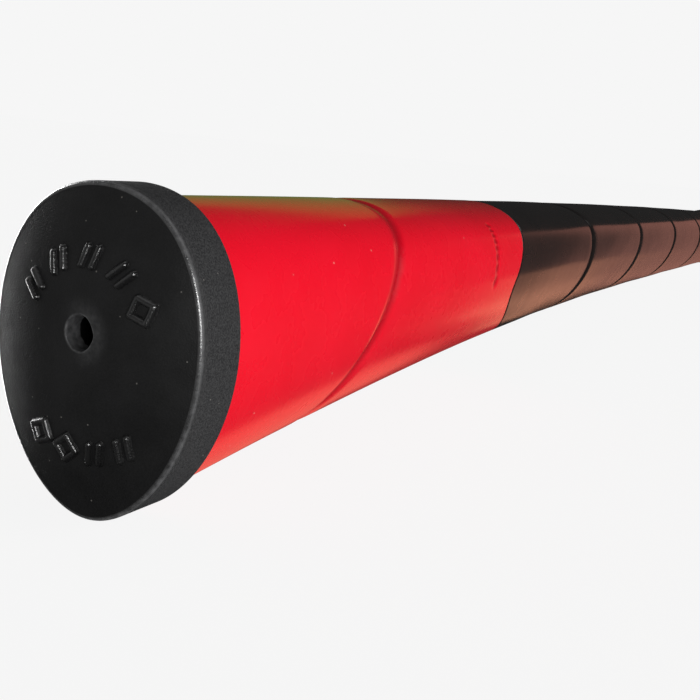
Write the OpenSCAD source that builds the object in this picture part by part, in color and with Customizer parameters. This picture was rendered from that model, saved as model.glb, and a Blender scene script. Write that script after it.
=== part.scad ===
// Pistol-shape putter grip: a rubber sleeve with the shaft bore, wrapped in two
// felt-backed polyurethane panels, closed by a moulded cap at the butt and by a
// moulded collar at the shaft mouth.
//
// Frame: the bore axis is the Y axis. The origin is the middle of the vent hole's
// mouth on the cap's outer face. The cap faces -Y, the shaft leaves along +Y, and
// the flat front of the grip faces +Z. All sizes are in millimetres.

/* [Overall] */
// Length from the cap's outer face to the shaft mouth
grip_len = 381; // [360:1:432]

/* [Cap outline] */
// Width of the cap
cap_w = 25.6; // [25:0.1:28]
// Distance from the bore axis to the cap's flat front edge
cap_front = 14.6; // [13.9:0.1:15.5]
// Distance from the bore axis to the cap's nose
cap_nose = 19.5; // [18:0.1:20.5]
// Pear shape: how flat the front is and how sharp the nose is
cap_pear = 0.4; // [0.2:0.05:0.6]
// Squareness: how full the shoulders beside the front are
cap_square = 0.1; // [0:0.05:0.2]

/* [Cap] */
// How far the cap stands out beyond the skin at the sides and the nose
cap_overhang = 0.8; // [0.3:0.1:1.2]
// How far the cap stands out beyond the skin at the flat front
front_overhang = 1.3; // [0.3:0.1:1.5]
// Height of the cap's side band
cap_side = 6.7; // [4:0.1:8]
// Depth of the outer face's dome
cap_dome = 2; // [1:0.1:2.5]
// Radius of the edge between the side band and the outer face
cap_edge_r = 0.5; // [0.3:0.1:1.2]
// Diameter of the vent hole
vent_d = 3.6; // [3:0.1:4.5]
// Depth of the vent hole, before it opens into the relief
vent_land = 2; // [1.5:0.1:3]
// Diameter of the relief behind the vent hole
relief_d = 5.2; // [4.6:0.1:6]
// Diameter of the spigot that plugs the sleeve
spigot_d = 17.4; // [16.5:0.1:18]
// Length of the spigot
spigot_len = 7; // [4:0.5:10]

/* [Raised marks on the cap] */
// Height of the marks above the face
mark_h = 0.5; // [0.2:0.05:0.6]
// Length of one mark
mark_size = 3.2; // [2.6:0.1:3.4]
// Width of a mark's ridges
mark_line = 0.6; // [0.4:0.1:0.7]
// Radius of the row above the vent hole
upper_row_r = 7.5; // [7:0.1:8]
// Radius of the row below the vent hole
lower_row_r = 12; // [11:0.1:12.5]

/* [Body outline] */
// Width half way along the body
waist_w = 22.8; // [22.4:0.1:25]
// Distance from the bore axis to the flat front, half way along
waist_front = 12.7; // [11.5:0.1:13.5]
// Pear shape half way along the body
waist_pear = 0.8; // [0.3:0.05:0.8]
// Length over which the nose sinks to the round section
nose_len = 260; // [200:5:300]
// Diameter of the round section at the shaft mouth
tip_d = 20.4; // [20:0.1:22]

/* [Layers] */
// Thickness of the polyurethane skin
skin_t = 0.7; // [0.5:0.1:0.8]
// Thickness of the felt backing
felt_t = 0.9; // [0.6:0.1:1]
// Diameter of the shaft bore
bore_d = 14.73; // [14.6:0.01:15]

/* [Panels] */
// Distance from the cap's outer face to the groove in the upper panel
groove_first = 44.8; // [35:0.1:60]
// Lean of that groove: distance along the axis for each millimetre of height
groove_lean = 0.62; // [0:0.02:0.8]
// Distance from the cap's outer face to the joint of the two panels
joint_at = 98; // [80:0.1:110]
// Lean of the joint
joint_lean = 0.34; // [0:0.02:0.5]
// How far the joint dips towards the shaft under the nose
joint_dip = 16; // [0:0.5:18]
// Distance from the joint to the first groove of the lower panel
joint_to_groove = 51.8; // [45:0.1:60]
// Distance from one groove of the lower panel to the next
groove_pitch = 50.8; // [45:0.1:60]
// Width of a groove
groove_w = 2.2; // [1:0.1:2.6]
// Depth of a groove
groove_depth = 0.35; // [0.1:0.05:0.4]
// Width of the seam under the nose
seam_w = 1.2; // [0.8:0.1:1.6]
// Depth of the channel that holds the seam bead
seam_channel = 0.4; // [0.3:0.05:0.45]
// How far the seam bead lies below the skin's surface
seam_sunk = 0.1; // [0.05:0.05:0.25]

/* [Tip collar] */
// Thickness of the collar's end wall
collar_end = 3; // [2:0.5:5]
// Length of the lip that covers the skin's edge
collar_lip = 3; // [2:0.5:5]
// Thickness of the lip
collar_lip_t = 0.6; // [0.4:0.1:1]

/* [Hidden] */

// Stations along the axis
face_rim_y = cap_dome;                 // where the dome meets the edge radius
cap_back_y = face_rim_y + cap_side;    // where the skin and sleeve begin
spigot_end_y = cap_back_y + spigot_len;
second_groove_y = joint_at + joint_to_groove;
sleeve_end_y = grip_len - collar_end;
round_from_y = sleeve_end_y - 2*collar_lip;  // the section stays round from here on

bore_r = bore_d/2;
wrap_t = skin_t + felt_t;
around = 40;        // facets round a section
long_step = 18;     // longest distance between two rings of the body
bore_facets = 96;
vent_facets = 48;
past = 1;           // how far a cut runs past the solid
eps = 0.01;         // overlap of two solids that are one piece

// ---- Section outline ----
// A section is set by its width w, its reach f to the flat front and n to the nose, its
// pear shape p and squareness q. It is held as the support function
//   s(a) = c0 + c1 cos a + c2 cos 2a - p cos 3a - q cos 4a,
// the distance from the bore axis to the tangent whose normal leans a from +Z towards +X.
// Taking d off c0 gives the outline exactly d further in.
function section(w, f, n, p, q) =
    [(w + f + n)/4 + q, (f - n)/2 + p, (f + n - w)/4, -p, -q];
function support(c, a) =
    c[0] + c[1]*cos(a) + c[2]*cos(2*a) + c[3]*cos(3*a) + c[4]*cos(4*a);
function support_slope(c, a) =
    -c[1]*sin(a) - 2*c[2]*sin(2*a) - 3*c[3]*sin(3*a) - 4*c[4]*sin(4*a);
function outline_point(c, inset, a) =
    let (s = support(c, a) - inset, m = support_slope(c, a))
    [s*sin(a) + m*cos(a), s*cos(a) - m*sin(a)];
// Radius of curvature of the outline at the nose
function nose_radius(c) = c[0] - 3*c[2] + 8*c[3] - 15*c[4];

cap_section = section(cap_w, cap_front, cap_nose, cap_pear, cap_square);

// Smooth course of a size along the body, from the butt through the waist to the tip
function course(butt, waist, tip, u) =
    (1 - u)*(1 - 2*u)*butt + 4*u*(1 - u)*waist + u*(2*u - 1)*tip;

// Section of the skin's outer surface at y
function body_section(y) =
    let (u = min(1, max(0, (y - cap_back_y)/(round_from_y - cap_back_y))),
         v = min(1, max(0, (y - cap_back_y)/nose_len)),
         tip_r = tip_d/2)
    section(course(cap_w - 2*cap_overhang, waist_w, tip_d, u),
            course(cap_front - front_overhang, waist_front, tip_r, u),
            tip_r + (cap_nose - cap_overhang - tip_r)*pow(1 - v, 3),
            course(cap_pear, waist_pear, 0, u),
            cap_square*pow(1 - u, 2));

function ring(c, inset, y, angles) =
    [for (a = angles) let (p = outline_point(c, inset, a)) [p[0], y, p[1]]];

// Share of a lean that is left at y, when it is full at y1 and gone at y0 and y2
function share(y, y0, y1, y2) =
    max(0, y < y1 ? (y - y0)/(y1 - y0) : (y2 - y)/(y2 - y1));
// Smooth step from 0 to 1 for t from 0 to 1
function smooth(t) = let (u = min(1, max(0, t))) u*u*(3 - 2*u);
// The joint dips between these angles from the front
dip_from = 100;
dip_to = 150;
// Where the panels' ring of station y runs at angle a: level at the cap and from the lower
// panel's first groove on, leaning in between
function wrap_y(y, a) =
    let (z = outline_point(body_section(y), 0, a)[1],
         turned = a > 180 ? 360 - a : abs(a),
         dip = joint_lean*z + joint_dip*smooth((turned - dip_from)/(dip_to - dip_from)))
    y + groove_lean*z*share(y, cap_back_y, groove_first, joint_at)
      + dip*share(y, groove_first, joint_at, second_groove_y);

// Ring of a panel or its backing
function wrap_ring(inset, y, angles) =
    [for (a = angles) let (at = wrap_y(y, a), p = outline_point(body_section(at), inset, a))
        [p[0], at, p[1]]];

full_turn = [for (i = [0:around - 1]) 360*i/around];

// Rings from y0 to y1, no further apart than long_step
function stations(y0, y1) =
    let (n = ceil((y1 - y0)/long_step)) [for (i = [0:n]) y0 + (y1 - y0)*i/n];

// ---- Solids made of rings ----
// Closed solid through a list of rings with the same number of points. Each ring runs
// clockwise as seen from -Y, and the rings follow each other along +Y.
module loft(rings) {
    n = len(rings[0]);
    m = len(rings);
    sides = [for (j = [0:m - 2], i = [0:n - 1])
        let (k = (i + 1) % n)
        each [[j*n + i, (j + 1)*n + k, j*n + k], [j*n + i, (j + 1)*n + i, (j + 1)*n + k]]];
    first = [for (i = [0:n - 1]) i];
    last = [for (i = [n - 1:-1:0]) (m - 1)*n + i];
    polyhedron(points = [for (r = rings) each r], faces = concat([first], sides, [last]));
}

// Closed tube between two lists of rings, all with the same number of points. An outer ring
// and the inner ring at the same place in its list belong together.
module tube(outer, inner) {
    n = len(outer[0]);
    m = len(outer);
    inside = m*n;   // index of the first inner point
    walls = [for (j = [0:m - 2], i = [0:n - 1])
        let (k = (i + 1) % n, a = j*n + i, b = j*n + k, c = a + n, d = b + n)
        each [[a, d, b], [a, c, d],
              [inside + a, inside + b, inside + d], [inside + a, inside + d, inside + c]]];
    ends = [for (i = [0:n - 1])
        let (k = (i + 1) % n, last = (m - 1)*n)
        each [[i, k, inside + k], [i, inside + k, inside + i],
              [last + i, inside + last + k, last + k],
              [last + i, inside + last + i, inside + last + k]]];
    polyhedron(points = concat([for (r = outer) each r], [for (r = inner) each r]),
               faces = concat(walls, ends));
}

// Half the angle that the seam's channel takes up under the nose at section c
function seam_half(c) = asin(seam_w/2/nose_radius(c));
// Angles of the panel, from one edge of the channel round the front to the other
function panel_angles(c) =
    let (g = seam_half(c)) [for (i = [0:around]) -180 + g + (360 - 2*g)*i/around];
// Angles of the channel's floor
floor_share = 0.8;
function floor_angles(c) =
    let (g = floor_share*seam_half(c)) [for (i = [-1:1]) 180 + g*i];
// Angles of the bead, which stands clear of the channel's walls
bead_share = 0.7;
function bead_angles(c) =
    let (g = bead_share*seam_half(c)) [for (i = [-2:2]) 180 + g*i/2];

function reversed(list) = [for (i = [len(list) - 1:-1:0]) list[i]];

// Skin along the stations ys, sunk at its outside by the depth listed for each station
module skin_tube(ys, sunk) {
    sections = [for (y = ys) body_section(y)];
    tube([for (k = [0:len(ys) - 1]) let (c = sections[k])
            concat(wrap_ring(sunk[k], ys[k], panel_angles(c)),
                   wrap_ring(seam_channel, ys[k], floor_angles(c)))],
         [for (k = [0:len(ys) - 1]) let (c = sections[k])
            wrap_ring(skin_t, ys[k], concat(panel_angles(c), floor_angles(c)))]);
}

// Bead along the stations ys, on the floor of the seam's channel
module seam_bead(ys) {
    loft([for (y = ys)
        let (angles = bead_angles(body_section(y)))
        concat(wrap_ring(seam_sunk, y, angles),
               wrap_ring(seam_channel, y, reversed(angles)))]);
}

// Stations from y0 to y1 with three rings at each groove, where the middle ring is sunk
function groove_stations(y0, y1, grooves) =
    let (ends = concat([y0 - groove_w/2], grooves, [y1 + groove_w/2]))
    [for (i = [0:len(ends) - 2])
        each concat(i > 0 ? [ends[i]] : [],
                    stations(ends[i] + groove_w/2, ends[i + 1] - groove_w/2))];
function groove_depths(ys, grooves) =
    [for (y = ys) len(search(y, grooves)) > 0 ? groove_depth : 0];

// ---- End cap ----
edge_steps = 4;
dome_steps = 6;
flat_land = 0.25;   // share of the outline that is flat round the vent hole

// Depth of the outer face behind the origin, at share t of the outline
function dome_depth(t) =
    cap_dome*max(0, t*t - flat_land*flat_land)/(1 - flat_land*flat_land);
function dome_ring(t) =
    [for (p = ring(cap_section, cap_edge_r, 0, full_turn)) [t*p[0], dome_depth(t), t*p[2]]];
// Ring of the edge radius at angle e, from 0 on the dome to 90 on the side band
function edge_ring(e) =
    ring(cap_section, cap_edge_r*(1 - sin(e)), face_rim_y + cap_edge_r*(1 - cos(e)), full_turn);

module cap_head() {
    domes = [for (i = [0:dome_steps - 1]) dome_ring(flat_land + (1 - flat_land)*i/dome_steps)];
    edges = [for (i = [0:edge_steps]) edge_ring(90*i/edge_steps)];
    loft(concat(domes, edges, [ring(cap_section, 0, cap_back_y, full_turn)]));
}

// Open lozenge
module lozenge_mark() {
    difference() {
        circle(d = mark_size, $fn = 4);
        circle(d = mark_size - 2*sqrt(2)*mark_line, $fn = 4);
    }
}

// Two slanted ridges side by side
bar_slant = 15;
module double_bar_mark() {
    for (side = [-1, 1])
        translate([side*1.1*mark_line, 0])
            rotate(-bar_slant) square([mark_line, 0.8*mark_size], center = true);
}

// Row of marks on an arc of radius r round the vent hole. is_lozenge lists the marks
// clockwise as seen from outside, and turn is the middle of the row, clockwise from +Z.
// Each mark leans back with the dome.
module mark_row(r, is_lozenge, pitch, turn) {
    last = len(is_lozenge) - 1;
    for (i = [0:last]) {
        clock = turn + (i - last/2)*pitch;
        t = r/(support(cap_section, clock) - cap_edge_r);
        lean = atan(2*cap_dome*t*t/r);
        rotate([0, clock, 0])
            translate([0, dome_depth(t), r])
                rotate([90 - lean, 0, 0])
                    translate([0, 0, -mark_h])
                        linear_extrude(2*mark_h)
                            if (is_lozenge[i]) lozenge_mark(); else double_bar_mark();
    }
}

module end_cap() {
    color([0.11, 0.11, 0.115])
    difference() {
        union() {
            cap_head();
            mark_row(upper_row_r, [false, false, false, false, true], pitch = 31, turn = 3);
            mark_row(lower_row_r, [false, false, true, true], pitch = 17, turn = 179);
            translate([0, cap_back_y - eps, 0])
                rotate([-90, 0, 0])
                    cylinder(d = spigot_d, h = spigot_len + eps, $fn = bore_facets);
        }
        translate([0, -past, 0])
            rotate([-90, 0, 0])
                cylinder(d = vent_d, h = vent_land + 2*past, $fn = vent_facets);
        translate([0, vent_land, 0])
            rotate([-90, 0, 0]) cylinder(d = relief_d, h = spigot_end_y, $fn = vent_facets);
    }
}

// ---- Sleeve ----
module underlisting() {
    color([0.2, 0.2, 0.2])
    difference() {
        loft([for (y = stations(cap_back_y, sleeve_end_y))
            ring(body_section(y), wrap_t, y, full_turn)]);
        rotate([-90, 0, 0]) cylinder(d = bore_d, h = grip_len, $fn = bore_facets);
        translate([0, cap_back_y - past, 0])
            rotate([-90, 0, 0])
                cylinder(d = spigot_d, h = spigot_len + past, $fn = bore_facets);
    }
}

// ---- Panels ----
upper_grooves = [groove_first];
lower_grooves =
    [for (y = [second_groove_y:groove_pitch:sleeve_end_y - collar_lip - groove_w]) y];

module backing(y0, y1) {
    ys = stations(y0, y1);
    color([0.55, 0.5, 0.46])
    tube([for (y = ys) wrap_ring(skin_t, y, full_turn)],
         [for (y = ys) wrap_ring(wrap_t, y, full_turn)]);
}

module skin(y0, y1, grooves) {
    ys = groove_stations(y0, y1, grooves);
    skin_tube(ys, groove_depths(ys, grooves));
}

module upper_backing() {
    backing(cap_back_y, joint_at);
}

module upper_skin() {
    color([0.85, 0.05, 0.1]) skin(cap_back_y, joint_at, upper_grooves);
}

module upper_seam() {
    color([0.7, 0.04, 0.08]) seam_bead(stations(cap_back_y, joint_at));
}

module lower_backing() {
    backing(joint_at, sleeve_end_y);
}

module lower_skin() {
    color([0.13, 0.1, 0.1]) skin(joint_at, sleeve_end_y, lower_grooves);
}

module lower_seam() {
    color([0.1, 0.08, 0.08]) seam_bead(stations(joint_at, sleeve_end_y));
}

// ---- Tip collar ----
// Half section turned about the axis: radius, then distance back from the shaft mouth
module tip_collar() {
    lip_r = tip_d/2 + collar_lip_t;
    corner_r = 1;
    back = collar_end + collar_lip;
    color([0.12, 0.12, 0.12])
    translate([0, grip_len, 0])
        rotate([90, 0, 0])
            rotate_extrude($fn = bore_facets)
                polygon(concat(
                    [[bore_r, 0]],
                    [for (a = [90:-15:0])
                        [lip_r - corner_r*(1 - cos(a)), corner_r*(1 - sin(a))]],
                    [[lip_r, back - collar_lip_t], [lip_r - collar_lip_t/2, back],
                     [tip_d/2, back], [tip_d/2, collar_end], [bore_r, collar_end]]));
}

end_cap();
underlisting();
upper_backing();
upper_skin();
upper_seam();
lower_backing();
lower_skin();
lower_seam();
tip_collar();
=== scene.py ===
"""Looks of a pistol-shape putter grip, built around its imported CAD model.

The bore axis is Y, the cap faces -Y and the flat front faces +Z. Sizes are in millimetres
and are turned into metres as each mesh is made, except where a comment says metres.
Angles round a section run from the front, over +X, to the nose.
"""

import math

import bpy
import numpy as np
from mathutils import Matrix, Vector


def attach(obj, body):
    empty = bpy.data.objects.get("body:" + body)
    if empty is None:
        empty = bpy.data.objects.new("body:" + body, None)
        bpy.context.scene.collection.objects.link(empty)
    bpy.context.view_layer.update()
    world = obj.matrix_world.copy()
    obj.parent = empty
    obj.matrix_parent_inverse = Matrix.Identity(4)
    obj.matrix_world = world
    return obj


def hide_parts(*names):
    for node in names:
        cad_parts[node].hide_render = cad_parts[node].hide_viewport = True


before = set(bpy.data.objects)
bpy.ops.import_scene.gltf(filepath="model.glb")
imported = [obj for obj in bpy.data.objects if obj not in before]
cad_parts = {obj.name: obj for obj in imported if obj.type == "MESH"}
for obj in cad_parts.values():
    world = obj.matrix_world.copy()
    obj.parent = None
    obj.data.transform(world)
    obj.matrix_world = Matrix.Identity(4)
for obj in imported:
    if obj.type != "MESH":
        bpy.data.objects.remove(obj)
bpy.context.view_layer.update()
MM = 0.001

# ---------------------------------------------------------------- camera

CAMERA_AT = (66.678, -77.285, 19.84)
CAMERA_YAW, CAMERA_PITCH, CAMERA_ROLL = (math.radians(d) for d in (26.05, -10.74, 5.98))
CAMERA_LENS = 53.88


def camera_axes(yaw, pitch, roll):
    """Right, up and back of a camera that looks along yaw from +Y, pitch up, rolled."""
    forward = Vector((-math.sin(yaw) * math.cos(pitch),
                      math.cos(yaw) * math.cos(pitch), math.sin(pitch)))
    level = Vector((math.cos(yaw), math.sin(yaw), 0))
    top = level.cross(forward)
    right = math.cos(roll) * level + math.sin(roll) * top
    up = math.cos(roll) * top - math.sin(roll) * level
    return right, up, -forward


def add_object(name, data):
    obj = bpy.data.objects.new(name, data)
    bpy.context.scene.collection.objects.link(obj)
    return obj


camera = add_object("camera", bpy.data.cameras.new("camera"))
axes = camera_axes(CAMERA_YAW, CAMERA_PITCH, CAMERA_ROLL)
camera.matrix_world = (Matrix.Translation(Vector(CAMERA_AT) * MM)
                       @ Matrix(axes).transposed().to_4x4())
camera.data.lens = CAMERA_LENS
camera.data.sensor_width = 36
camera.data.clip_start = 0.005
camera.data.clip_end = 50
bpy.context.scene.camera = camera

# ---------------------------------------------------------------- sizes, as in the CAD

LENGTH = 381
CAP_W, CAP_FRONT, CAP_NOSE, CAP_PEAR, CAP_SQUARE = 25.6, 14.6, 19.5, 0.4, 0.1
OVERHANG, FRONT_OVERHANG, CAP_SIDE, CAP_DOME, CAP_EDGE = 0.8, 1.3, 6.7, 2, 0.5
VENT_R, VENT_LAND, RELIEF_R, SPIGOT_R, SPIGOT_LEN = 1.8, 2, 2.6, 8.7, 7
MARK_H, MARK_SIZE, MARK_LINE, UPPER_ROW_R, LOWER_ROW_R = 0.5, 3.2, 0.6, 7.5, 12
WAIST_W, WAIST_FRONT, WAIST_PEAR, NOSE_LEN, TIP_R = 22.8, 12.7, 0.8, 260, 10.2
SKIN_T, FELT_T, BORE_R = 0.7, 0.9, 7.365
GROOVE_FIRST, GROOVE_LEAN, JOINT, JOINT_LEAN, JOINT_DIP = 44.8, 0.62, 98, 0.34, 16
JOINT_TO_GROOVE, GROOVE_PITCH, GROOVE_W, GROOVE_DEPTH = 51.8, 50.8, 2.2, 0.35
SEAM_W, SEAM_CHANNEL, SEAM_SUNK = 1.2, 0.4, 0.1
COLLAR_END, COLLAR_LIP, COLLAR_LIP_T = 3, 3, 0.6

CAP_BACK = CAP_DOME + CAP_SIDE
SPIGOT_END = CAP_BACK + SPIGOT_LEN
SECOND_GROOVE = JOINT + JOINT_TO_GROOVE
DIP_FROM, DIP_TO = math.radians(100), math.radians(150)
SLEEVE_END = LENGTH - COLLAR_END
ROUND_FROM = SLEEVE_END - 2 * COLLAR_LIP
WRAP_T = SKIN_T + FELT_T

# ---------------------------------------------------------------- section outline


def section(w, f, n, p, q):
    """Coefficients of the support function, for width w and reaches f and n."""
    return np.array([(w + f + n) / 4 + q, (f - n) / 2 + p, (f + n - w) / 4, -p, -q])


def outline(c, inset, a):
    """Points (x, z) of the outline at tangent angles a, inset below the surface."""
    c = c.reshape(5, -1)
    k = np.arange(5)[:, None]
    s = (c * np.cos(k * a)).sum(0) - inset
    m = -(k * c * np.sin(k * a)).sum(0)
    return s * np.sin(a) + m * np.cos(a), s * np.cos(a) - m * np.sin(a)


def nose_radius(c):
    """Radius of curvature under the nose."""
    return c[0] - 3 * c[2] + 8 * c[3] - 15 * c[4]


CAP = section(CAP_W, CAP_FRONT, CAP_NOSE, CAP_PEAR, CAP_SQUARE)


def body_section(y):
    """The skin's section at y. The nose has a course of its own, over NOSE_LEN."""
    y = np.asarray(y, float)
    u = np.clip((y - CAP_BACK) / (ROUND_FROM - CAP_BACK), 0, 1)
    v = np.clip((y - CAP_BACK) / NOSE_LEN, 0, 1)

    def course(butt, waist, tip):
        """Parabola through a size at the cap, halfway and at the round tip."""
        return (1 - u) * (1 - 2 * u) * butt + 4 * u * (1 - u) * waist + u * (2 * u - 1) * tip

    return section(course(CAP_W - 2 * OVERHANG, WAIST_W, 2 * TIP_R),
                   course(CAP_FRONT - FRONT_OVERHANG, WAIST_FRONT, TIP_R),
                   TIP_R + (CAP_NOSE - OVERHANG - TIP_R) * (1 - v) ** 3,
                   course(CAP_PEAR, WAIST_PEAR, 0), CAP_SQUARE * (1 - u) ** 2)


def ring(c, inset, y, a):
    """Points of the section c at y, inset below its surface."""
    x, z = outline(c, inset, a)
    return np.stack([x, np.broadcast_to(y, x.shape), z], 1)


def smooth(x):
    """Soft step from 0 to 1."""
    x = np.clip(x, 0, 1)
    return x * x * (3 - 2 * x)


def from_front(a):
    """Angles from the front, between 0 and pi on either side."""
    return np.abs(np.angle(np.exp(1j * a)))


def wrap_y(y, a):
    """Where the panels' ring of station y runs at angles a."""
    z = outline(body_section(y), 0, a)[1]
    under = smooth((from_front(a) - DIP_FROM) / (DIP_TO - DIP_FROM))
    dip = JOINT_LEAN * z + JOINT_DIP * under
    lean_share = np.interp(y, (CAP_BACK, GROOVE_FIRST, JOINT), (0, 1, 0))
    dip_share = np.interp(y, (GROOVE_FIRST, JOINT, SECOND_GROOVE), (0, 1, 0))
    return y + GROOVE_LEAN * z * lean_share + dip * dip_share


def wrap_ring(inset, y, a):
    """Points of the panels' ring of station y, inset below the surface."""
    at = wrap_y(y, a)
    x, z = outline(body_section(at), inset, a)
    return np.stack([x, at, z], 1)


def turn(count, share=0.0):
    """Angles round a section, closer together at the nose for a share above 0, and at the
    front for one below it."""
    t = np.arange(count) / count * 2 * math.pi
    return t + share * np.sin(t)


# ---------------------------------------------------------------- mesh making

ANY_PHASE = 6.3      # random phases are drawn from one full turn
QUARTER = math.pi / 2


def volume(points, faces):
    """Six times the volume inside the faces, negative if they face inwards."""
    total = 0.0
    for face in faces:
        p = points[list(face)]
        total += (p[0] * np.cross(p[1:-1], p[2:]).sum(0)).sum()
    return total


def make_object(name, points, faces, sharp=40):
    """Smooth-shaded object in metres, with creases sharper than so many degrees kept."""
    points = np.asarray(points) * MM
    if volume(points, faces) < 0:
        faces = [face[::-1] for face in faces]
    mesh = bpy.data.meshes.new(name)
    mesh.from_pydata(points, [], faces)
    mesh.update()
    mesh.polygons.foreach_set("use_smooth", np.ones(len(mesh.polygons), bool))
    mesh.set_sharp_from_angle(angle=math.radians(sharp))
    return add_object(name, mesh)


def grid_faces(m, n, close_rings=False):
    """Quads between m rings of n points; close_rings joins the last ring to the first."""
    faces = []
    for j in range(m if close_rings else m - 1):
        a, b = j * n, (j + 1) % m * n
        faces += [(a + i, b + i, b + (i + 1) % n, a + (i + 1) % n) for i in range(n)]
    return faces


def hoop(name, rings, sharp=40):
    """Closed solid whose rings follow its outside and come back along its inside."""
    m, n = len(rings), len(rings[0])
    return make_object(name, np.concatenate(rings), grid_faces(m, n, close_rings=True), sharp)


def bar(name, rings, sharp=40):
    """Closed solid along its rings, with a flat face at each end."""
    m, n = len(rings), len(rings[0])
    faces = grid_faces(m, n)
    faces += [tuple(range(n)), tuple(range(m * n - 1, (m - 1) * n - 1, -1))]
    return make_object(name, np.concatenate(rings), faces, sharp)


def paint(obj, name, values):
    """Stores one number a vertex for the materials to read."""
    attribute = obj.data.attributes.new(name, "FLOAT", "POINT")
    attribute.data.foreach_set("value", np.asarray(values, np.float32))


def soft_noise(a, y, seed, waves, reach):
    """Sum of slow waves over angle and length, mostly between -1 and 1."""
    rng = np.random.default_rng(seed)
    total = 0
    for _ in range(waves):
        k = rng.integers(1, 6)
        f = rng.uniform(0.5, 1) * 2 * math.pi / reach
        total = total + np.sin(k * a + f * y + rng.uniform(0, ANY_PHASE))
    return total / math.sqrt(waves)


# ---------------------------------------------------------------- end cap

# the vent hole: its worn lip, the flash on one side of its mouth, the torn wall, the worn
# patch round it, and a lighter ring at its mouth, partly worn and partly painted highlight
VENT_LIP, LIP_RISE, LIP_DIP, LIP_RAGGED, MOUTH_RAGGED = 0.12, 0.05, 0.03, 5, 0.08
FLASH, FLASH_TURN, FLASH_END, FLASH_FADE = 0.28, 0.2, 1.6, 1.2
TEAR, TEAR_FROM, TEAR_FADE = 0.18, 0.2, 0.6
RUB_TURN, RUB_SHARE, MOUTH_WEAR_AND_LIGHT, RUB_FAR = 0.35, 0.4, 0.3, 2.2
FLAT_LAND = 0.25         # how much of the way from the axis to the edge is flat
BACK_R, BACK_WEAR = 0.25, 0.3
SPIGOT_BEVEL, SPIGOT_TAPER = 0.4, 0.955
CAP_POINTS, CAP_SPREAD = 720, 0.12
FACE_STEPS, EDGE_STEPS, BAND_STEPS, BACK_STEPS = 190, 12, 9, 5
SIDE_FROM = 7            # the edge's ring where the side's finish starts
BAR_SLANT = math.radians(15)
BAR_REACH, BAR_GAP, MARK_ROUND = 0.4, 1.1, 0.62
# rows of marks: radius, one letter for each double bar or lozenge, and the pitch and the
# middle of the row in degrees clockwise from the front
MARK_ROWS = ((UPPER_ROW_R, "bbbbl", 31, 3), (LOWER_ROW_R, "bbll", 17, 179))


def dome(t):
    """How far the face falls back at the share t of the way to its edge."""
    return CAP_DOME * np.maximum(0, t * t - FLAT_LAND ** 2) / (1 - FLAT_LAND ** 2)


def stroke(px, pz, a, b):
    """Distance of the points from the segment a to b."""
    a, b = np.array(a), np.array(b)
    d = b - a
    t = np.clip(((px - a[0]) * d[0] + (pz - a[1]) * d[1]) / (d @ d), 0, 1)
    return np.hypot(px - a[0] - t * d[0], pz - a[1] - t * d[1])


def marks_height(x, z):
    """Height of the raised marks at face points (x, z)."""
    half = MARK_SIZE / 2 - MARK_LINE / 2
    up = BAR_REACH * MARK_SIZE - MARK_LINE / 2
    sx, sz = up * math.sin(BAR_SLANT), up * math.cos(BAR_SLANT)
    strokes = {
        "l": [((0, half), (half, 0)), ((half, 0), (0, -half)),
              ((0, -half), (-half, 0)), ((-half, 0), (0, half))],
        "b": [((gap - sx, -sz), (gap + sx, sz))
              for gap in (-BAR_GAP * MARK_LINE, BAR_GAP * MARK_LINE)],
    }
    near = np.full(x.shape, MARK_SIZE)
    for radius, kinds, pitch, middle in MARK_ROWS:
        for i, kind in enumerate(kinds):
            clock = math.radians(middle + (i - (len(kinds) - 1) / 2) * pitch)
            # axes of the mark on the face: along the row, and out from the vent hole
            px = x * math.cos(clock) - z * math.sin(clock)
            pz = x * math.sin(clock) + z * math.cos(clock) - radius
            for a, b in strokes[kind]:
                near = np.minimum(near, stroke(px, pz, a, b))
    return MARK_H * np.sqrt(np.clip(1 - (near / (MARK_ROUND * MARK_LINE)) ** 2, 0, 1))


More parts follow.
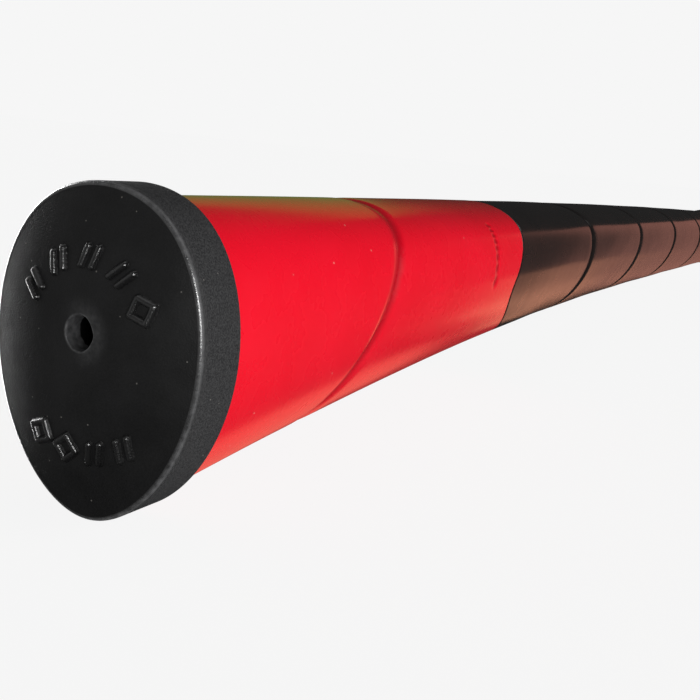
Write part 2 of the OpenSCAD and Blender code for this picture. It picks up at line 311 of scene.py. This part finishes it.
def make_cap():
    """Cap as one grid of rings, from the vent hole's mouth over the face, the side, the back
    and the spigot, and back along the vent hole's wall. Its finish is painted on the rings,
    with painted light on the vent hole's wall and mouth and on the front edge."""
    a = turn(CAP_POINTS, CAP_SPREAD)
    rim_x, rim_z = outline(CAP, CAP_EDGE, a)
    rim_r = np.hypot(rim_x, rim_z)
    way_x, way_z = rim_x / rim_r, rim_z / rim_r
    rng = np.random.default_rng(5)
    ragged = sum(rng.normal(0, 0.05) * np.sin(k * a + rng.uniform(0, ANY_PHASE))
                 for k in range(3, 16))
    flash = FLASH * np.clip(np.sin(a + FLASH_TURN), 0, 1) ** 2 * (1 + ragged)
    vent = VENT_R + MOUTH_RAGGED * np.abs(ragged) - flash
    rings, finish = [], {"wear": [], "polish": [], "side": []}

    def add(points, **shares):
        """Adds a ring, with its shares of each finish."""
        rings.append(points)
        for name, values in finish.items():
            values.append(np.broadcast_to(shares.get(name, 0.0), a.shape))

    def level(x, z, y):
        return np.stack([x, np.full(CAP_POINTS, y), z], 1)

    # the face, from the vent hole's mouth out to the edge
    lightened = 0.5 + 0.5 * np.sin(a + RUB_TURN)
    for i in range(FACE_STEPS + 1):
        s = i / FACE_STEPS
        r = vent * (1 - s) + rim_r * s
        x, z = way_x * r, way_z * r
        mark = marks_height(x, z)
        lip = np.clip((r - vent) / VENT_LIP, 0, 1)
        y = dome(r / rim_r) - mark
        y = y + LIP_RISE * (1 - lip) ** 2
        y = y - LIP_DIP * np.sin(math.pi * lip) * (1 + LIP_RAGGED * ragged)
        # the face is lighter at the vent hole's mouth, partly worn and partly a painted
        # highlight, and over a worn patch to one side
        add(np.stack([x, y, z], 1), polish=smooth(mark / MARK_H * 4),
            wear=np.maximum(1 - smooth((r - vent) / MOUTH_WEAR_AND_LIGHT),
                            RUB_SHARE * lightened * (1 - smooth((r - vent) / RUB_FAR))))
    # the edge, the side band and the back edge
    for i in range(1, EDGE_STEPS + 1):
        e = i / EDGE_STEPS * QUARTER
        # the front edge is lighter, partly worn and partly a painted highlight along it
        add(ring(CAP, CAP_EDGE * (1 - math.sin(e)), CAP_DOME + CAP_EDGE * (1 - math.cos(e)), a),
            wear=math.sin(2 * e), polish=1.0, side=float(i >= SIDE_FROM))
    for y in np.linspace(CAP_DOME + CAP_EDGE, CAP_BACK - BACK_R, BAND_STEPS + 1)[1:]:
        add(ring(CAP, 0, y, a), side=1.0)
    for i in range(1, BACK_STEPS + 1):
        e = i / BACK_STEPS * QUARTER
        add(ring(CAP, BACK_R * (1 - math.cos(e)), CAP_BACK - BACK_R * (1 - math.sin(e)), a),
            wear=BACK_WEAR, side=1.0)
    # the back face, the spigot, and the relief and the wall of the vent hole
    root_x, root_z = np.sin(a) * SPIGOT_R, np.cos(a) * SPIGOT_R
    add(level(root_x, root_z, CAP_BACK), side=1.0)
    add(level(root_x, root_z, SPIGOT_END - SPIGOT_BEVEL), side=1.0)
    add(level(root_x * SPIGOT_TAPER, root_z * SPIGOT_TAPER, SPIGOT_END), side=1.0)
    for y in (SPIGOT_END, 10, 6, VENT_LAND + 0.15):
        add(level(way_x * RELIEF_R, way_z * RELIEF_R, y))
    for y in (VENT_LAND, 1.7, 1.4, 1.1, 0.8, 0.5, 0.3):
        torn = 2 * smooth((y - 1) / (VENT_LAND - 1)) + smooth((y - TEAR_FROM) / TEAR_FADE)
        wall = (VENT_R - TEAR * np.abs(ragged) * torn
                - flash * smooth((FLASH_END - y) / FLASH_FADE))
        # painted light: the vent hole's wall is lighter all round, as if lit
        add(level(way_x * wall, way_z * wall, y), wear=1.0)
    cap = hoop("cap", rings[::-1], sharp=35)
    for name, values in finish.items():
        paint(cap, name, np.concatenate(values[::-1]))
    return cap


# ---------------------------------------------------------------- sleeve and panels

RING_STEP, LONG_STEP = 1.5, 6        # between the rings of a skin, and of what it hides
FINE_STEP, FINE_RINGS, DASH_STEP = 0.1, 7, 0.25
SKIN_POINTS, SKIN_SPREAD, SKIN_BACK_RINGS = 288, -0.55, 40
TUBE_POINTS, BORE_RINGS = 192, 60
GROOVE_SHARPNESS = 1.9
DASH_Y, DASH_DEPTH, DASH_HALF, DASH_COUNT = 86.8, 0.2, 0.8, 8
DASH_FROM, DASH_PITCH, DASH_SPREAD = 43, 7.5, 2.7    # in degrees from the front
CHANNEL_FLAT, CHANNEL_SLOPE = 0.85, 0.3      # of the seam channel, in halves of its width
BEAD_FILL, BEAD_CROWN, BEAD_WOBBLE, BEAD_STEP = 0.86, 0.22, 0.02, 0.8


def stations(y0, y1, step, grooves=()):
    """Places of the rings from y0 to y1, close together at each groove and at both ends."""
    ys = set(np.linspace(y0, y1, max(2, int(math.ceil((y1 - y0) / step)) + 1)))
    for g in grooves:
        ys |= set(np.arange(g - GROOVE_W, g + GROOVE_W, FINE_STEP))
    for k in range(1, FINE_RINGS + 1):
        ys |= {y0 + k * FINE_STEP, y1 - k * FINE_STEP}
    return np.array(sorted(y for y in ys if y0 <= y <= y1))


def groove_share(y, grooves):
    """Depth of the pressed grooves at y, as a share of their full depth."""
    return sum(math.exp(-(GROOVE_SHARPNESS * (y - g) / GROOVE_W) ** 2) for g in grooves)


def panel_inset(a, y, y0, y1, grooves, roll0, roll1, waviness):
    """How far the skin's outside lies below the outline at angles a and station y. The ends
    at y0 and y1 are rolled in with radii roll0 and roll1."""
    inset = np.full(a.shape, groove_share(y, grooves) * GROOVE_DEPTH)
    for end, roll in ((y - y0, roll0), (y1 - y, roll1)):
        if end < roll:
            inset += roll - math.sqrt(roll * roll - (roll - end) ** 2)
    inset += waviness * (1 + soft_noise(a, y, seed=3, waves=6, reach=40))
    half = math.asin(SEAM_W / 2 / nose_radius(body_section(y)))
    off = (math.pi - from_front(a)) / half
    channel = SEAM_CHANNEL * (1 - smooth((off - CHANNEL_FLAT) / CHANNEL_SLOPE))
    return np.maximum(inset, channel)


def dashes(a, y):
    """A short row of small pressed dashes across each side, as a share of their depth."""
    total = np.zeros(a.shape)
    for side in (1, -1):
        for i in range(DASH_COUNT):
            centre = side * math.radians(DASH_FROM + DASH_PITCH * i)
            off = np.angle(np.exp(1j * (a - centre))) / math.radians(DASH_SPREAD)
            total += np.exp(-off ** 4)
    return total * np.exp(-((wrap_y(y, a) - DASH_Y) / DASH_HALF) ** 4)


def make_skin(name, y0, y1, grooves, roll0, roll1, waviness, dashed=False):
    """One wrapped panel, with its creases painted as a mask of painted shade for its material.
    """
    a = turn(SKIN_POINTS, SKIN_SPREAD)
    ys = stations(y0, y1, RING_STEP, grooves)
    if dashed:
        ys = np.array(sorted(set(ys) | set(np.arange(DASH_Y - 8, DASH_Y + 4, DASH_STEP))))
    outer, crease_shade = [], []
    for y in ys:
        inset = panel_inset(a, y, y0, y1, grooves, roll0, roll1, waviness)
        row = dashes(a, y) if dashed else np.zeros(SKIN_POINTS)
        # the depth of the grooves and dashes, kept as the mask of painted shade
        crease_shade.append(np.maximum(groove_share(y, grooves), row))
        outer.append(wrap_ring(inset + DASH_DEPTH * row, y, a))
    inner = [wrap_ring(SKIN_T, y, a) for y in np.linspace(y1, y0, SKIN_BACK_RINGS)]
    skin = hoop(name, outer + inner, sharp=38)
    paint(skin, "crease_shade", np.concatenate(crease_shade + [np.zeros(SKIN_POINTS * len(inner))]))
    return skin


def make_seam(name, y0, y1):
    """The filler bead in the seam's channel, with a slightly uneven top."""
    phases = np.random.default_rng(11).uniform(0, ANY_PHASE, 4)
    across = np.linspace(-1, 1, 13)
    rings = []
    for y in np.linspace(y0, y1, int((y1 - y0) / BEAD_STEP)):
        half = BEAD_FILL * math.asin(SEAM_W / 2 / nose_radius(body_section(y)))
        wobble = BEAD_WOBBLE * sum(math.sin(y * (0.9 + 0.7 * i) + phase)
                                   for i, phase in enumerate(phases))
        inset = SEAM_SUNK + BEAD_CROWN * np.abs(across) ** 3 + wobble * (1 - across ** 2)
        top = wrap_ring(inset, y, math.pi + half * across)
        bottom = wrap_ring(SEAM_CHANNEL, y, math.pi + half * across[::-1])
        rings.append(np.concatenate([top, bottom]))
    return bar(name, rings, sharp=50)


def make_felt(name, y0, y1):
    """The backing between a skin and the sleeve."""
    a = turn(TUBE_POINTS)
    ys = stations(y0, y1, LONG_STEP)
    outer = [wrap_ring(SKIN_T, y, a) for y in ys]
    inner = [wrap_ring(WRAP_T, y, a) for y in ys[::-1]]
    return hoop(name, outer + inner)


def round_ring(r, y, a):
    """Points of a circle of radius r at y."""
    return np.stack([r * np.sin(a), np.broadcast_to(y, a.shape), r * np.cos(a)], 1)


def make_sleeve():
    """Underlisting: outside, then back along the bore and the spigot's seat."""
    a = turn(TUBE_POINTS)
    rings = [ring(body_section(y), WRAP_T, y, a)
             for y in stations(CAP_BACK, SLEEVE_END, LONG_STEP)]
    rings += [round_ring(BORE_R, y, a)
              for y in np.linspace(SLEEVE_END, SPIGOT_END, BORE_RINGS)]
    rings += [round_ring(SPIGOT_R, y, a) for y in (SPIGOT_END, CAP_BACK)]
    return hoop("sleeve", rings)


def make_collar():
    """Moulded collar: its profile is given as radius and distance from the shaft mouth."""
    lip = TIP_R + COLLAR_LIP_T
    reach = COLLAR_END + COLLAR_LIP
    corner, fillet, flat_from = 1.0, 0.35, 1.6
    profile = [(BORE_R, COLLAR_END), (BORE_R, fillet)]
    profile += [(BORE_R + fillet * (1 - math.cos(e)), fillet * (1 - math.sin(e)))
                for e in np.linspace(0, QUARTER, 6)]
    profile += [(lip - corner + corner * math.sin(e), corner * (1 - math.cos(e)))
                for e in np.linspace(0, QUARTER, 12)]
    profile += [(lip, d) for d in np.linspace(flat_from, reach - COLLAR_LIP_T, 6)]
    half = COLLAR_LIP_T / 2
    profile += [(lip - half + half * math.cos(e), reach - COLLAR_LIP_T + half * math.sin(e))
                for e in np.linspace(0.2, QUARTER, 6)]
    profile += [(TIP_R, reach - COLLAR_LIP_T), (TIP_R, COLLAR_END)]
    a = turn(256)
    rings = [round_ring(r, LENGTH - d, a) for r, d in profile]
    return hoop("collar", rings, sharp=30)


UPPER_GROOVES = [GROOVE_FIRST]
LOWER_GROOVES = list(np.arange(SECOND_GROOVE, SLEEVE_END - COLLAR_LIP - GROOVE_W,
                               GROOVE_PITCH))

cap = make_cap()
sleeve = make_sleeve()
felt_upper = make_felt("felt_upper", CAP_BACK, JOINT)
felt_lower = make_felt("felt_lower", JOINT, SLEEVE_END)
skin_upper = make_skin("skin_upper", CAP_BACK, JOINT, UPPER_GROOVES, roll0=0.3, roll1=0.45,
                       waviness=0.012, dashed=True)
skin_lower = make_skin("skin_lower", JOINT, SLEEVE_END, LOWER_GROOVES, roll0=0.5, roll1=0.1,
                       waviness=0.035)
seam_upper = make_seam("seam_upper", CAP_BACK, JOINT)
seam_lower = make_seam("seam_lower", JOINT, SLEEVE_END)
collar = make_collar()

# ---------------------------------------------------------------- materials


def rgb(r, g, b):
    return (r, g, b, 1)


class Nodes:
    """A material under construction, with short calls for its nodes."""

    def __init__(self, name):
        self.material = bpy.data.materials.new(name)
        self.material.use_nodes = True
        self.tree = self.material.node_tree
        self.shader = self.tree.nodes["Principled BSDF"]
        self.place = self.add("ShaderNodeTexCoord").outputs["Object"]

    def feed(self, entry, value):
        """Links another node's output to the entry, or sets the entry to a fixed value."""
        if isinstance(value, bpy.types.NodeSocket):
            self.tree.links.new(value, entry)
        else:
            entry.default_value = value

    def add(self, kind, values=None, **settings):
        node = self.tree.nodes.new(kind)
        for key, value in settings.items():
            setattr(node, key, value)
        for key, value in (values or {}).items():
            self.feed(node.inputs[key], value)
        return node

    def noise(self, scale, detail=3, rough=0.5):
        node = self.add("ShaderNodeTexNoise", {"Vector": self.place, "Scale": scale,
                                               "Detail": detail, "Roughness": rough})
        return node.outputs["Fac"]

    def ramp(self, value, low, high, out_low=0.0, out_high=1.0):
        """value, where low to high is stretched to out_low to out_high and clamped."""
        node = self.add("ShaderNodeMapRange", {"Value": value, "From Min": low,
                                               "From Max": high, "To Min": out_low,
                                               "To Max": out_high})
        return node.outputs["Result"]

    def math(self, operation, a, b):
        return self.add("ShaderNodeMath", {0: a, 1: b}, operation=operation).outputs[0]

    def plus(self, a, b):
        return self.math("ADD", a, b)

    def times(self, a, b):
        return self.math("MULTIPLY", a, b)

    def mix(self, factor, a, b):
        """Colour a where factor is 0, b where it is 1."""
        # inputs 6 and 7 and output 2 are the Mix node's colours
        return self.add("ShaderNodeMix", {0: factor, 6: a, 7: b}, data_type="RGBA").outputs[2]

    def attribute(self, name):
        return self.add("ShaderNodeAttribute", attribute_name=name).outputs["Fac"]

    def specks(self, scale, size, share):
        """1 in small round specks, of which only a share shows."""
        cell = self.add("ShaderNodeTexVoronoi", {"Vector": self.place, "Scale": scale})
        dot = self.ramp(cell.outputs["Distance"], size, size * 0.6)
        pick = self.add("ShaderNodeSeparateColor", {"Color": cell.outputs["Color"]})
        return self.times(dot, self.math("LESS_THAN", pick.outputs[0], share))

    def bump(self, height, strength, distance):
        node = self.add("ShaderNodeBump", {"Height": height, "Strength": strength,
                                           "Distance": distance})
        self.tree.links.new(node.outputs["Normal"], self.shader.inputs["Normal"])

    def finish(self, color, roughness, **others):
        """Links what varies to the shader, and sets every fixed number on the shader itself."""
        for key, value in {"Base Color": color, "Roughness": roughness, **others}.items():
            self.feed(self.shader.inputs[key.replace("_", " ")], value)
        return self.material


def cap_material():
    """Matte moulded rubber: a mottled face, a greyer and rougher side whose lighter grey is
    partly painted light, edges and the vent hole's mouth lighter where worn and from a painted
    highlight, the vent hole's wall painted lighter as painted light, glossy marks and dust.
    The cap's painted numbers say where each is."""
    m = Nodes("cap_rubber")
    wear, side, polish = m.attribute("wear"), m.attribute("side"), m.attribute("polish")
    cloud, grain = m.noise(160, 4), m.noise(5600, 2, 0.6)
    dust = m.specks(900, size=0.09, share=0.36)

    mottle = m.plus(m.times(cloud, 0.6), m.times(grain, 0.4))
    face = m.mix(m.ramp(mottle, 0.4, 0.6), rgb(0.005, 0.005, 0.0052),
                 rgb(0.0095, 0.0095, 0.0098))
    # the side band is lighter than the face, partly its own grey and partly painted light for
    # the light falling on the side
    band = m.mix(m.ramp(grain, 0.35, 0.65), rgb(0.018, 0.018, 0.019), rgb(0.046, 0.046, 0.047))
    base = m.mix(side, face, band)
    # lighter where worn, with painted light on the vent hole's wall and mouth and a painted
    # highlight on the front edge
    lightened = m.times(wear, m.ramp(m.noise(1500), 0.3, 0.75, 0.25, 1.0))
    base = m.mix(lightened, base, rgb(0.12, 0.12, 0.123))
    base = m.mix(m.times(dust, 0.6), base, rgb(0.22, 0.21, 0.19))

    rough = m.ramp(m.noise(600), 0.3, 0.7, 0.46, 0.54)
    rough = m.math("SUBTRACT", rough, m.times(polish, 0.22))
    rough = m.plus(rough, m.times(side, 0.25))
    shine = m.plus(m.ramp(side, 0, 1, 0.32, 0.12), m.times(polish, 0.68))
    m.bump(m.plus(grain, m.times(m.noise(1400), 0.8)), strength=0.35, distance=0.00008)
    return m.finish(base, rough, Specular_IOR_Level=shine)


def skin_material(name, low, high, rough, dust_color, dust_share):
    """Semi-gloss skin between the colours low and high, with painted shade darkening its
    creases.
    """
    m = Nodes(name)
    base = m.mix(m.ramp(m.noise(70), 0.3, 0.7), low, high)
    # painted shade: the colour darkens towards black in the grooves and dashes
    base = m.mix(m.times(m.attribute("crease_shade"), 0.45), base, rgb(0, 0, 0))
    dust = m.specks(400, size=0.06, share=dust_share)
    base = m.mix(m.times(dust, 0.55), base, dust_color)
    m.bump(m.noise(3400, 2, 0.55), strength=0.1, distance=0.00001)
    return m.finish(base, m.ramp(m.noise(300, 2), 0.3, 0.7, *rough), Specular_IOR_Level=0.2,
                    Coat_Weight=1.0, Coat_Roughness=0.17, Coat_IOR=1.5)


def plain_material(name, low, high, scale, rough, bump_scale, bump, **fixed):
    """Mottled between the colours low and high, with a fine grain."""
    m = Nodes(name)
    base = m.mix(m.ramp(m.noise(scale, 4), 0.3, 0.7), low, high)
    m.bump(m.noise(bump_scale, 4, 0.65), strength=0.5, distance=bump)
    return m.finish(base, m.ramp(m.noise(scale * 3), 0.3, 0.7, *rough), **fixed)


RUBBER = cap_material()
RED = skin_material("red_skin", rgb(0.80, 0.0025, 0.016), rgb(0.86, 0.0035, 0.021),
                    rough=(0.24, 0.31), dust_color=rgb(0.95, 0.42, 0.36), dust_share=0.34)
BLACK = skin_material("black_skin", rgb(0.0095, 0.0072, 0.0066), rgb(0.014, 0.0105, 0.0098),
                      rough=(0.26, 0.34), dust_color=rgb(0.12, 0.1, 0.09), dust_share=0.08)
RED_SEAM = plain_material("red_seam", rgb(0.60, 0.006, 0.018), rgb(0.70, 0.008, 0.024),
                          scale=400, rough=(0.3, 0.42), bump_scale=1800, bump=0.00008)
BLACK_SEAM = plain_material("black_seam", rgb(0.008, 0.006, 0.006), rgb(0.012, 0.009, 0.009),
                            scale=400, rough=(0.3, 0.42), bump_scale=1800, bump=0.00008)
SLEEVE = plain_material("sleeve_rubber", rgb(0.012, 0.012, 0.012), rgb(0.03, 0.03, 0.03),
                        scale=500, rough=(0.7, 0.85), bump_scale=2500, bump=0.00015)
FELT = plain_material("felt", rgb(0.28, 0.25, 0.22), rgb(0.42, 0.38, 0.34),
                      scale=900, rough=(0.9, 1.0), bump_scale=4000, bump=0.0002)
COLLAR = plain_material("collar_rubber", rgb(0.009, 0.009, 0.0095), rgb(0.014, 0.014, 0.0145),
                        scale=300, rough=(0.5, 0.62), bump_scale=4200, bump=0.00005,
                        Specular_IOR_Level=0.4)

PIECES = (
    (cap, "end_cap", "cap_rubber", RUBBER),
    (sleeve, "underlisting", "sleeve_rubber", SLEEVE),
    (felt_upper, "upper_backing", "felt", FELT),
    (skin_upper, "upper_skin", "red_skin", RED),
    (seam_upper, "upper_seam", "red_seam", RED_SEAM),
    (felt_lower, "lower_backing", "felt", FELT),
    (skin_lower, "lower_skin", "black_skin", BLACK),
    (seam_lower, "lower_seam", "black_seam", BLACK_SEAM),
    (collar, "tip_collar", "cap_rubber", COLLAR),
)
for piece, node, slot, material in PIECES:
    piece.data.materials.append(material)
    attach(piece, "root")
    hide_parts(node)

# ---------------------------------------------------------------- stage and light

SURROUNDINGS = rgb(0.922, 0.922, 0.922)      # as the camera sees them
WORLD_LIGHT, WORLD_GLOSS = 0.2, 0.02
FLOOR_GLOW, FLOOR_GAP = 0.895, 0.0004        # the gap is in metres
FAR = 1.6                                    # distance of the far cards, in metres
WHITE_GLOW = rgb(1, 1, 1)


def card(name, at, towards, width, height):
    """A flat rectangle at a point, facing another, all in metres."""
    w, h = width / 2, height / 2
    mesh = bpy.data.meshes.new(name)
    mesh.from_pydata([(-w, -h, 0), (w, -h, 0), (w, h, 0), (-w, h, 0)], [], [(0, 1, 2, 3)])
    obj = add_object(name, mesh)
    obj.rotation_euler = (Vector(towards) - Vector(at)).to_track_quat("Z", "Y").to_euler()
    obj.location = at
    return obj


def far_card(name, corners):
    """A flat shape far off. Its corners are azimuths from +Y towards +X, and elevations."""
    points = []
    for azimuth, elevation in corners:
        u, v = math.radians(azimuth), math.radians(elevation)
        points.append(Vector((math.sin(u) * math.cos(v), math.cos(u) * math.cos(v),
                              math.sin(v))))
    middle = sum(points, Vector()).normalized()
    mesh = bpy.data.meshes.new(name)
    mesh.from_pydata([FAR * p / p.dot(middle) for p in points], [],
                     [tuple(range(len(points)))])
    obj = add_object(name, mesh)
    return obj


def glow(obj, color, strength, only=()):
    """Makes a card a soft tinted reflector: the gloss sees it, the camera doesn't. With only,
    no other pieces mirror it."""
    if only:
        mirrors = bpy.data.collections.new(obj.name + "_on")
        for piece in only:
            mirrors.objects.link(piece)
        obj.light_linking.receiver_collection = mirrors
    material = bpy.data.materials.new(obj.name)
    material.use_nodes = True
    nodes, links = material.node_tree.nodes, material.node_tree.links
    nodes.clear()
    out = nodes.new("ShaderNodeOutputMaterial")
    shine = nodes.new("ShaderNodeEmission")
    shine.inputs["Color"].default_value = color
    shine.inputs["Strength"].default_value = strength
    links.new(shine.outputs[0], out.inputs["Surface"])
    obj.data.materials.append(material)
    obj.visible_camera = False
    obj.visible_diffuse = False
    obj.visible_shadow = False


def sun(name, direction, strength, spread):
    """A soft light from a direction, spread over so many degrees, that nothing mirrors."""
    light = bpy.data.lights.new(name, "SUN")
    light.energy = strength
    light.angle = math.radians(spread)
    obj = add_object(name, light)
    obj.rotation_euler = Vector(direction).to_track_quat("Z", "Y").to_euler()
    obj.visible_glossy = False


floor = card("floor", (0, 0, -CAP_NOSE * MM - FLOOR_GAP), (0, 0, 1), 60, 60)
floor_material = bpy.data.materials.new("floor")
floor_material.use_nodes = True
floor_shader = floor_material.node_tree.nodes["Principled BSDF"]
for key, value in (("Base Color", rgb(0.05, 0.05, 0.05)), ("Roughness", 1),
                   ("Specular IOR Level", 0), ("Emission Color", WHITE_GLOW),
                   ("Emission Strength", FLOOR_GLOW)):
    floor_shader.inputs[key].default_value = value
floor.data.materials.append(floor_material)
floor.visible_glossy = False

world = bpy.data.worlds.new("studio")
bpy.context.scene.world = world
world.use_nodes = True
tree = world.node_tree
tree.nodes.clear()
path = tree.nodes.new("ShaderNodeLightPath")


def background(color, strength):
    node = tree.nodes.new("ShaderNodeBackground")
    node.inputs["Color"].default_value = color
    node.inputs["Strength"].default_value = strength
    return node.outputs[0]


def choose(ray, other, shown):
    """The background shown to one kind of ray, and the other to the rest."""
    node = tree.nodes.new("ShaderNodeMixShader")
    for i, entry in enumerate((path.outputs[ray], other, shown)):
        tree.links.new(entry, node.inputs[i])
    return node.outputs[0]


dim = choose("Is Glossy Ray", background(WHITE_GLOW, WORLD_LIGHT),
             background(WHITE_GLOW, WORLD_GLOSS))
tree.links.new(choose("Is Camera Ray", dim, background(SURROUNDINGS, 1)),
               tree.nodes.new("ShaderNodeOutputWorld").inputs["Surface"])

sun("key", (0.84, 0.45, 0.28), 2.4, 40)
sun("front", (0.8, -0.6, 0.1), 0.8, 22)

BOTH_SKINS = (skin_upper, skin_lower)
# name, corners as azimuth and elevation, colour, strength, and the only pieces that mirror
# the card, where it isn't all of them
FAR_CARDS = (
    ("olive_card", [(-62, -6), (-28, -6), (-27, 3), (-20.5, 14), (-11, 21.5), (-7, 24.5),
                    (-8, 26.5), (-26, 24), (-62, 24)],
     rgb(0.29, 1.0, 0.28), 0.185, (skin_upper,)),
    ("warm_card", [(-46, -40), (4, -40), (2, -21.2), (-10, -21.2), (-46, -22)],
     rgb(1.0, 0.23, 0.165), 0.80, (skin_upper,)),
    ("tan_card", [(-8, -17.6), (7, -17.6), (14, -9), (11, -7.5), (6, -12), (-8, -15)],
     rgb(1.0, 0.42, 0.26), 0.90, ()),
    ("brown_card", [(-6, -13), (6, -13), (12, -7), (12, 13), (6, 12), (-2, 4), (-6, 2)],
     rgb(1.0, 0.42, 0.33), 0.33, ()),
    ("front_low", [(-178, -65), (-105, -65), (-105, -15), (-178, -15)], WHITE_GLOW, 0.07, ()),
    ("front_high", [(-178, -15), (-105, -15), (-105, 50), (-178, 50)], WHITE_GLOW, 0.30, ()),
    ("roof_card", [(-180, 62), (-90, 62), (0, 62), (90, 62)], WHITE_GLOW, 0.6, ()),
    ("quarter_card", [(24, 34), (46, 34), (46, 52), (24, 52)], WHITE_GLOW, 1.6, (skin_lower,)),
    ("side_card", [(80, 34), (112, 34), (112, 52), (80, 52)], WHITE_GLOW, 1.6, BOTH_SKINS),
)
for name, corners, color, strength, only in FAR_CARDS:
    glow(far_card(name, corners), color, strength, only)
# two bright cards for the cap alone, for its rounded edge and its raised marks
glow(card("edge_card", (0.055, -0.038, 0.012), (0.013, 0.002, 0.004), 0.019, 0.023),
     WHITE_GLOW, 24, (cap,))
glow(card("mark_card", (-0.237, 0.089, 0.012), (0, 0, 0), 0.125, 0.27),
     WHITE_GLOW, 12, (cap,))

bpy.context.scene.view_settings.view_transform = "Standard"
bpy.context.scene.view_settings.look = "None"
